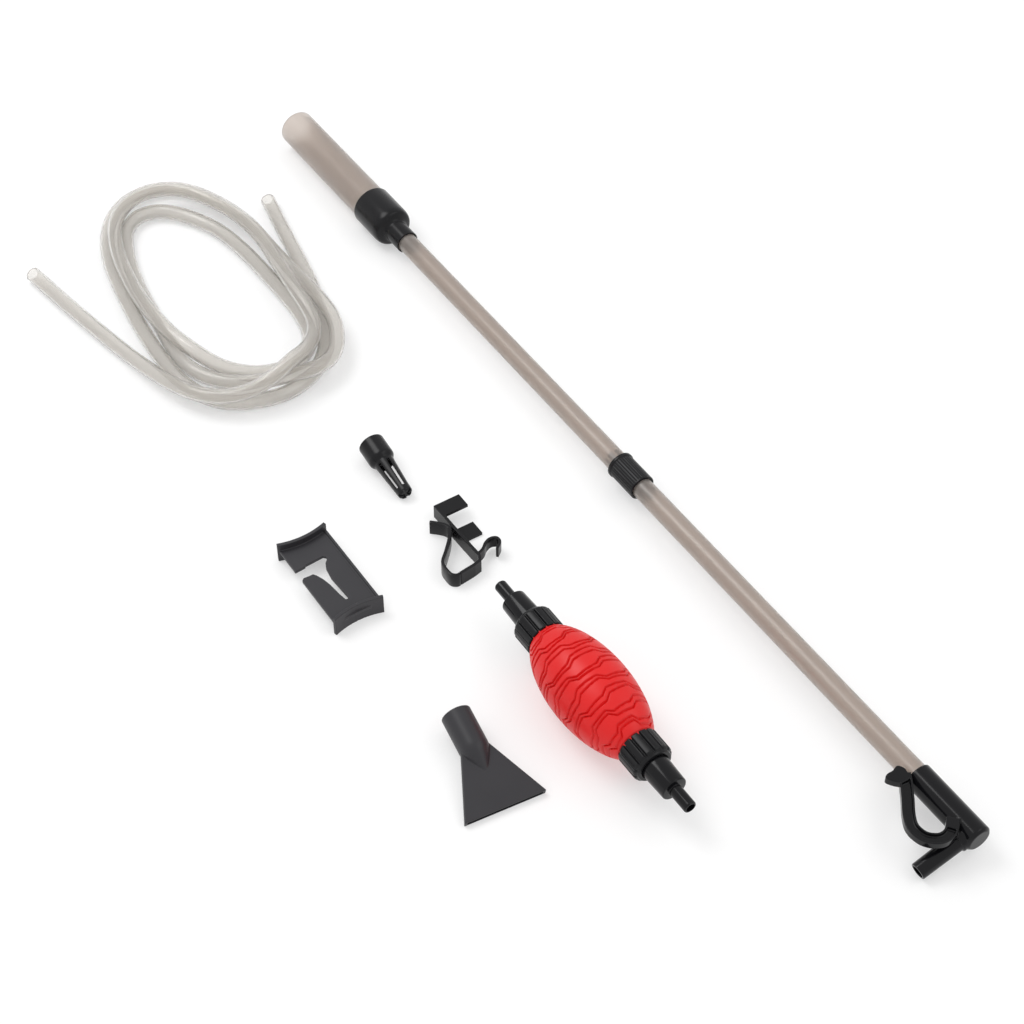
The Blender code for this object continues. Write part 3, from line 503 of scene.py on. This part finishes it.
def make_handle():
    end, body_r = HANDLE_END_X, 9.6 * MM
    body = lathe("body", rounded([
        (0.0, end, 0.0), (7.9 * MM, end, 0.4 * MM), (body_r, end - 1.7 * MM, 0.6 * MM),
        (body_r, HANDLE_X, 0.5 * MM), (0.0, HANDLE_X, 0.0)], 0.5 * MM, 4, closed=False),
        wand_place(), 96)
    pipe_turn = Matrix.Rotation(QUARTER_TURN + PIPE_DROOP, 4, "X")
    pipe_place = Matrix.Translation((PIPE_X, WAND_Y, WAND_Z)) @ pipe_turn
    pipe = lathe("pipe", [(0.0, 42.5 * MM), (5.5 * MM, 42.5 * MM), (5.8 * MM, 42.2 * MM),
                          (6.3 * MM, 0.0), (0.0, 0.0)], pipe_place, 64)
    boss = lathe("boss", [(0.0, 11.4 * MM), (7.0 * MM, 11.4 * MM), (7.4 * MM, 10.8 * MM),
                          (7.4 * MM, 0.0), (0.0, 0.0)], pipe_place, 64)
    handle = fused(joined("handle", body, pipe, boss, *hook_solids()), 0.36 * MM, 5)
    socket_floor = HANDLE_X + 20.0 * MM
    bore = lathe("bore", [
        (0.0, end - 3.0 * MM), (6.2 * MM, end - 3.0 * MM), (6.2 * MM, socket_floor),
        (SOCKET_BORE_R, socket_floor), (SOCKET_BORE_R, HANDLE_X - MM), (0.0, HANDLE_X - MM)],
        wand_place(), 64)
    outlet = lathe("outlet", [(0.0, 45.0 * MM), (4.3 * MM, 45.0 * MM), (4.3 * MM, 0.0), (0.0, 0.0)],
                   pipe_place, 48)
    return cut(handle, bore, outlet)


def make_wand(smoke, black, gloss):
    show(tube("gravel_tube_skin", 15.0 * MM, 13.5 * MM, MOUTH_X, REDUCER_X + 20.0 * MM, 128),
         smoke, "gravel", "smoky", "gravel_tube")
    show(make_reducer(), black, "reducer", "black", "tube_reducer")
    middle = COUPLING_X + COUPLING_LENGTH / 2.0
    show(tube("upper_tube_skin", SLIM_R, SLIM_BORE_R, NECK_X - 14.7 * MM, middle - 1.2 * MM),
         smoke, "upper_wand", "smoky", "upper_tube")
    show(make_coupling(), black, "coupling", "black", "tube_coupling")
    show(tube("lower_tube_skin", SLIM_R, SLIM_BORE_R, middle + 1.2 * MM, HANDLE_X + 19.7 * MM),
         smoke, "lower_wand", "smoky", "lower_tube")
    show(make_handle(), gloss, "handle", "black_gloss", "handle_elbow", sharp=50.0)


# ---------------------------------------------------------------- squeeze bulb

BULB_R, BULB_HALF, BULB_END_R = 27.5 * MM, 51.0 * MM, 14.0 * MM
BULB_WALL, NECK_BORE_R = 3.0 * MM, 10.3 * MM
GROOVE_PAIRS, GROOVE_PITCH, GROOVE_DEPTH = 9, 11.3 * MM, 1.5 * MM


def barrel(height, radius):
    """The bulb's radius at a height along its axis."""
    slope = 1.0 - (BULB_END_R / BULB_R) ** 2
    return radius * math.sqrt(max(1.0 - slope * (height / BULB_HALF) ** 2, 0.04))


def zigzag(angle, turns, phase):
    """A line that runs level, then steps across, like cracked mud: between 0 and 1."""
    t = (angle / (2.0 * math.pi) * turns + phase) % 1.0
    edges = ((0.0, 0.0), (0.38, 0.06), (0.5, 0.94), (0.88, 1.0), (1.0, 0.0))
    for (t0, v0), (t1, v1) in zip(edges, edges[1:]):
        if t <= t1:
            return v0 + (v1 - v0) * (t - t0) / (t1 - t0)
    return 0.0


def groove_depth(height, angle):
    """Between 0 and 1: pairs of wavy grooves, each pair half a wave on from the last."""
    deepest = 0.0
    for i in range(GROOVE_PAIRS):
        line = -45.2 * MM + GROOVE_PITCH * i
        shift = 3.8 * MM * (zigzag(angle, 4, 0.37 * i + 0.1) - 0.5)
        spread = (1.7 + 0.5 * math.sin(3.0 * angle + 1.7 * i)) * MM
        for offset in (-spread, spread):
            gap = abs(height - line - offset - shift)
            deepest = max(deepest, 1.0 - min(gap / (0.95 * MM), 1.0) ** 1.5)
    return deepest


def make_bulb(rubber):
    count = 340
    outer = [(barrel(z, BULB_R), z) for z in
             [BULB_HALF * (1.0 - 2.0 * i / count) for i in range(count + 1)]]
    inner = [(max(barrel(z, BULB_R - BULB_WALL), NECK_BORE_R), z) for z in
             [BULB_HALF * (1.0 - i / 12.0) for i in range(1, 24)]]
    neck, end = 11.8 * MM, 61.0 * MM
    outline = [(neck, end), (neck, BULB_HALF + 0.1 * MM), *outer, (neck, -BULB_HALF - 0.1 * MM),
               (neck, -end), (NECK_BORE_R, -end), *inner[::-1], (NECK_BORE_R, end)]

    def grooved(r, z, angle):
        if r < neck + 0.1 * MM or r + 0.5 * MM < barrel(z, BULB_R):
            return r
        return r - GROOVE_DEPTH * groove_depth(z, angle)

    bulb = lathe("bulb", outline, along(BULB), 384, grooved)
    show(bulb, rubber, "bulb", "red_rubber", "bulb_lower_wall", "bulb_upper_wall", sharp=50.0)
    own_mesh(bulb)


def make_nut(name):
    """A union nut about Z, with evenly spaced lugs that fade out at both ends."""
    lugs, lug_height, gap_share = 14, 1.8 * MM, 0.52
    low, high = 51.6 * MM, 71.5 * MM
    base, bore = 13.0 * MM, 10.1 * MM
    lug_end, lug_start = high - 3.6 * MM, low + 0.9 * MM
    ceiling = 67.7 * MM
    outline = [(12.4 * MM, high, 0.3 * MM), (12.9 * MM, high - 0.9 * MM, 0.3 * MM)]
    outline += [(base, lug_end + 2.2 * MM - 0.3 * MM * i, 0.0) for i in range(9)]
    outline += [(base, low + 2.4 * MM - 0.3 * MM * i, 0.0) for i in range(9)]
    outline += [(12.2 * MM, low, 0.2 * MM), (12.2 * MM, ceiling), (bore, ceiling),
                (bore, high, 0.4 * MM)]

    def lugged(r, z, angle):
        if abs(r - base) > 0.05 * MM:
            return r
        wave = abs(math.sin(lugs * angle / 2.0))
        lug = min(1.0, (wave / gap_share) ** 2.2) if wave < gap_share else 1.0
        end = max(0.0, 1.0 - ((z - lug_end) / (2.0 * MM)) ** 2) if z > lug_end else 1.0
        foot = max(0.0, 1.0 - ((lug_start - z) / (1.2 * MM)) ** 2) if z < lug_start else 1.0
        return r + lug_height * lug * math.sqrt(end * foot)

    return lathe(name, rounded(outline, 0.15 * MM, 3), None, 336, lugged)


def make_adapter(name):
    """A hose adapter about Z: flange, barrel and barb, bored right through."""
    end, barb_end = 92.3 * MM, 109.0 * MM
    low = 65.1 * MM
    top = low + 2.2 * MM
    barb_r, flange_r, bore_r, barb_bore_r = 4.5 * MM, 11.8 * MM, 7.2 * MM, 3.2 * MM
    outline = [
        (4.0 * MM, barb_end, 0.3 * MM), (barb_r, barb_end - 0.8 * MM, 0.4 * MM),
        (barb_r, end, 0.5 * MM), (9.1 * MM, end, 1.0 * MM), (9.7 * MM, 74.0 * MM, 0.3 * MM),
        (9.8 * MM, top, 0.0), (flange_r, top), (flange_r, low), (8.6 * MM, low),
        (8.6 * MM, low + 3.2 * MM), (bore_r, low + 3.6 * MM), (bore_r, end - 3.0 * MM),
        (barb_bore_r, end - 2.0 * MM), (barb_bore_r, barb_end, 0.3 * MM),
    ]
    return lathe(name, rounded(outline, 0.2 * MM, 4), None, 96)


def make_squeeze_bulb(rubber, black, gloss):
    make_bulb(rubber)
    flip = Matrix.Translation(BULB) @ Matrix.Rotation(-QUARTER_TURN, 4, "Y")
    for side, place in (("inlet", flip), ("outlet", along(BULB))):
        nut = make_nut(f"{side}_nut_skin")
        nut.data.transform(place)
        show(nut, black, f"{side}_union", "black", f"{side}_nut", sharp=50.0)
        fitting = make_adapter(f"{side}_adapter_skin")
        fitting.data.transform(place)
        show(fitting, gloss, f"{side}_fitting", "black_gloss", f"{side}_adapter")


# ---------------------------------------------------------------- small fittings

def make_strainer():
    """A slotted basket, tipped so that its cup and its tip both rest on the floor."""
    cup, length, tip, cup_r = 17.3 * MM, 53.2 * MM, 5.6 * MM, 10.0 * MM
    rest = cup - MM
    drop = math.atan2(cup_r - tip, length - rest)
    outline = [
        (0.0, length), (4.6 * MM, length, 0.6 * MM), (tip, length - 1.2 * MM, 0.6 * MM),
        (7.6 * MM, cup + 2.6 * MM, 1.0 * MM), (8.6 * MM, cup + 1.4 * MM, 0.8 * MM),
        (9.7 * MM, cup - 0.2 * MM, 0.6 * MM), (cup_r, cup - 1.6 * MM, 0.8 * MM),
        (cup_r, 0.0, 0.5 * MM), (SOCKET_BORE_R, 0.0, 0.3 * MM), (SOCKET_BORE_R, cup - 2.0 * MM),
        (6.2 * MM, cup), (4.0 * MM, length - 3.0 * MM), (0.0, length - 3.0 * MM),
    ]
    basket = lathe("strainer", rounded(outline, 0.2 * MM, 3, closed=False), None, 96)
    tools = []
    for i in range(CROSS_SLOTS):
        turn = Matrix.Rotation(math.radians(50.0) + math.pi * i / CROSS_SLOTS, 4, "Z")
        tools.append(block("bar", (-12 * MM, -1.2 * MM, cup + 5.0 * MM),
                           (12 * MM, 1.2 * MM, length - 5.6 * MM), turn))
        turn = Matrix.Rotation(math.radians(20.0) + math.pi * i / CROSS_SLOTS, 4, "Z")
        tools.append(block("notch", (-12 * MM, -0.9 * MM, length - 1.5 * MM),
                           (12 * MM, 0.9 * MM, length + MM), turn))
    fused(cut(basket, *tools), 0.25 * MM, 3)
    height = cup_r * math.cos(drop) + rest * math.sin(drop)
    basket.data.transform(along((-73.75 * MM, -18.44 * MM, height), math.radians(-2.0), drop))
    return basket


def make_nozzle():
    """A round socket that melts into a flat fan, tipped onto the floor like the strainer."""
    length, neck, tube_r, half = 73.6 * MM, 28.0 * MM, 10.3 * MM, 2.5 * MM
    width, bore_r, slit_half = 29.0 * MM, 8.8 * MM, 1.3 * MM
    rest = neck + 2.5 * MM
    drop = math.atan2(tube_r - half, length - rest)
    flat = Matrix.Rotation(QUARTER_TURN, 4, "Z") @ Matrix.Rotation(QUARTER_TURN, 4, "X")
    stem = lathe("stem", rounded([
        (0.0, 48.0 * MM), (1.4 * MM, 47.5 * MM, 1.2 * MM), (tube_r, neck + 2.0 * MM, 4.0 * MM),
        (tube_r, 0.0, 0.5 * MM), (0.0, 0.0)], 0.0, 5, closed=False), None, 96)
    fan = [(-tube_r + 0.4 * MM, neck), (tube_r - 0.4 * MM, neck), (width, length), (-width, length)]
    blade = prism("blade", fan, -half, half, 0.5 * MM, flat)
    nozzle = fused(joined("nozzle", stem, blade), 0.3 * MM, 3)
    bore = lathe("bore", [(0.0, 43.5 * MM), (1.6 * MM, 43.5 * MM), (bore_r, neck + 1.5 * MM),
                          (bore_r, -MM), (0.0, -MM)], None, 64)
    slope = (width - tube_r) / (length - neck)
    inner = tube_r - 2.2 * MM
    outer = inner + slope * (length - neck + MM)
    slit = prism("slit", [(-inner, neck), (inner, neck), (outer, length + MM),
                          (-outer, length + MM)], -slit_half, slit_half, 0.0, flat)
    cut(nozzle, bore, slit)
    height = tube_r * math.cos(drop) + rest * math.sin(drop)
    nozzle.data.transform(along((173.9 * MM, -99.4 * MM, height), math.radians(-6.3), drop))
    return nozzle


def make_plate():
    """A flat plate with a pinch slot, one side lip and two bowed end flanges."""
    x0, y0 = -19.9, -125.4
    outline = [
        (1.0, 0.0), (24.7, 0.0), (24.2, 8.0), (23.2, 9.0), (22.4, 23.4), (24.2, 25.0),
        (26.6, 24.0), (29.0, 21.6), (33.5, 19.6), (43.0, 18.3), (63.6, 19.4), (65.8, 18.6),
        (65.6, 17.0), (59.0, 15.8), (48.0, 14.6), (41.0, 13.0), (36.0, 11.0), (33.4, 9.4),
        (33.0, 1.8), (34.6, 0.0), (80.0, 0.0), (80.0, 37.0), (1.0, 37.0),
    ]
    points = [((x0 + u) * MM, (y0 + v) * MM) for u, v in outline]
    pieces = [prism("sheet", points, 8.2 * MM, 10.7 * MM),
              block("lip", ((x0 + 1.0) * MM, (y0 + 35.4) * MM, 9.2 * MM),
                    ((x0 + 80.0) * MM, (y0 + 37.2) * MM, 12.2 * MM))]
    for x, hollow in ((x0, 3.4), (x0 + 81.0, -3.4)):
        shares = [-1.0 + i / 8.0 for i in range(17)]
        path = in_mm([(x + hollow * (1.0 - t ** 2), y0 + 18.5 + t * 19.3) for t in shares])
        pieces.append(prism("flange", band(path, [1.3 * MM] * len(path)), 0.0, 16.0 * MM))
    return fused(joined("plate", *pieces), 0.26 * MM, 6)


CLIP_HALF, CLIP_TOP = 1.15 * MM, 12.0 * MM


def make_clip_body():
    half, top, tab = CLIP_HALF, CLIP_TOP, 2.5 * MM
    spine = in_mm([(4.6, -11.6), (20.0, -11.3), (45.0, -10.8), (62.0, -10.3), (66.4, -12.6),
                   (67.6, -18.0), (69.0, -30.4)])
    claw = smooth_curve(in_mm([(60.5, -10.5), (58.2, -5.0), (54.6, -0.6), (52.8, 4.4),
                               (54.6, 8.8), (59.2, 8.6), (63.6, 3.4)]), 6)
    pieces = [
        prism("spine", band(spine, [half] * len(spine)), 0.0, top),
        prism("claw", band(claw, [half * 0.9] * len(claw)), 2.5 * MM, top),
        block("upper_jaw", (4.6 * MM, -12.4 * MM, top - tab), (17.0 * MM, 8.6 * MM, top)),
        block("lower_jaw", (25.2 * MM, -11.6 * MM, 0.0), (38.0 * MM, 7.4 * MM, tab)),
    ]
    return fused(joined("clip", *pieces), 0.26 * MM, 3)


def make_clip_arm():
    path = smooth_curve(in_mm([(69.04, -30.7), (69.2, -33.0), (66.6, -36.0), (61.0, -36.6),
                               (53.5, -35.2), (46.0, -28.0), (37.0, -19.6), (29.4, -14.6),
                               (25.0, -14.8), (20.6, -18.2), (16.0, -23.0)]), 5)
    return prism("clip_arm_skin", band(path, [CLIP_HALF] * len(path)), 0.0, CLIP_TOP, 0.3 * MM)


# ---------------------------------------------------------------- build

make_camera()
make_hose(plastic("clear_vinyl", (0.90, 0.88, 0.85), 0.13, grain=60.0, bump=0.01,
                  variation=0.05, spread=0.05, transmission=0.86, ior=1.4))
make_stage()

SMOKE = plastic("smoky_plastic", (0.69, 0.615, 0.56), 0.30, grain=60.0, bump=0.01, variation=0.05,
                spread=0.02, transmission=0.82)
BLACK = plastic("black_plastic", (0.008, 0.008, 0.009), 0.25, bump=0.04, specular=0.22)
GLOSS = plastic("gloss_black_plastic", (0.005, 0.005, 0.006), 0.14, bump=0.02, specular=0.24)
CHARCOAL = plastic("charcoal_plastic", (0.030, 0.029, 0.033), 0.42, bump=0.08, specular=0.35)
RUBBER = plastic("red_rubber", (0.70, 0.010, 0.010), 0.38, grain=1200.0, bump=0.05, variation=0.12,
                 specular=0.35)
SEAL = plastic("seal_rubber", (0.04, 0.04, 0.04), 0.6, bump=0.08)

make_wand(SMOKE, BLACK, GLOSS)
make_squeeze_bulb(RUBBER, BLACK, GLOSS)
show(make_strainer(), BLACK, "strainer", "black", "strainer_basket", sharp=50.0)
show(make_nozzle(), CHARCOAL, "nozzle", "charcoal", "flat_nozzle", sharp=50.0)
show(make_plate(), CHARCOAL, "plate", "charcoal", "flow_control_plate", sharp=50.0)
show(make_clip_body(), BLACK, "clip", "black", "clip_body", sharp=50.0)
show(make_clip_arm(), BLACK, "clip_arm", "black", "clip_spring_arm")

for node, material in (("inlet_valve_seat", BLACK), ("outlet_valve_seat", BLACK),
                       ("inlet_valve_flap", SEAL), ("outlet_valve_flap", SEAL),
                       ("inlet_gasket", SEAL), ("outlet_gasket", SEAL)):
    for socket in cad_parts[node].material_slots:
        socket.material = material
